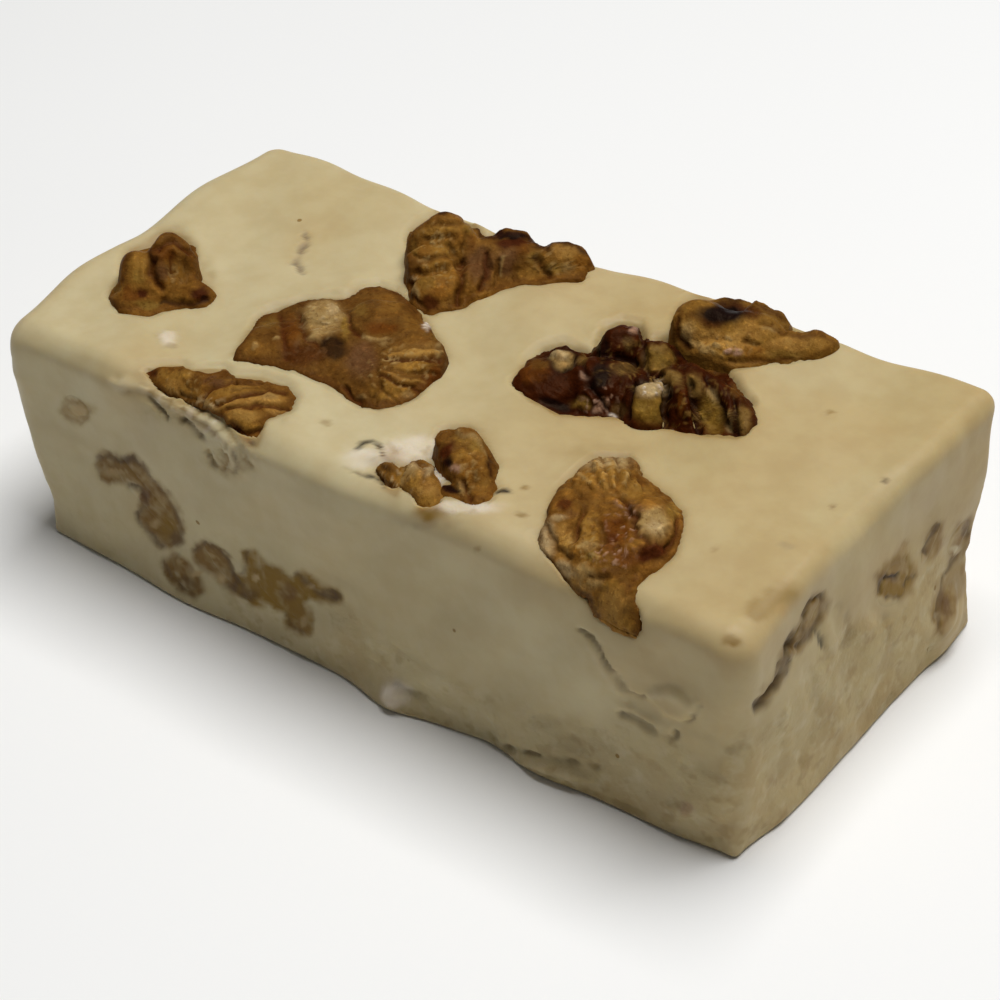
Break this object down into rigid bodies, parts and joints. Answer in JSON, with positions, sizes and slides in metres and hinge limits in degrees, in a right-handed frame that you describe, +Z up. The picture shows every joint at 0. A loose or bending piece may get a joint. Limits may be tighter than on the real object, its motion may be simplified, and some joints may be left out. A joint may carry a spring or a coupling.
{
  "type": "walnut fudge slab",
  "caption": "Cut slab of pale cream fudge with broken walnut pieces set in its poured top and cut nuts showing in its sides.",
  "frame": {"origin": "middle of the base, on the surface the slab lies on", "axes": "+X along the length, out of the short cut end; -Y out of the long cut face; +Z up, out of the poured top"},
  "size_m": [0.1134, 0.0546, 0.0395],
  "materials": {
    "fudge": "smooth and waxy on top, grainy where cut",
    "walnut_skin": "glossy wrinkled skin",
    "walnut_dark_skin": "dark glossy wrinkled skin",
    "walnut_flesh": "cut flesh with a thin brown skin round it"
  },
  "bodies": {
    "root": {"fudge_block": "fudge", "walnut_back_left": "walnut_skin", "walnut_left_half": "walnut_skin", "walnut_back_middle": "walnut_skin", "walnut_front_left": "walnut_skin", "walnut_front_middle": "walnut_skin", "walnut_front_crumb": "walnut_skin", "walnut_front_right": "walnut_skin", "walnut_centre_half": "walnut_dark_skin", "walnut_back_right": "walnut_skin", "nut_front_1": "walnut_flesh", "nut_front_2": "walnut_flesh", "nut_front_3": "walnut_flesh", "nut_front_4": "walnut_flesh", "nut_front_5": "walnut_flesh", "nut_end_1": "walnut_flesh", "nut_end_2": "walnut_flesh", "nut_end_3": "walnut_flesh", "nut_end_4": "walnut_flesh", "nut_end_5": "walnut_flesh"}
  },
  "joints": []
}
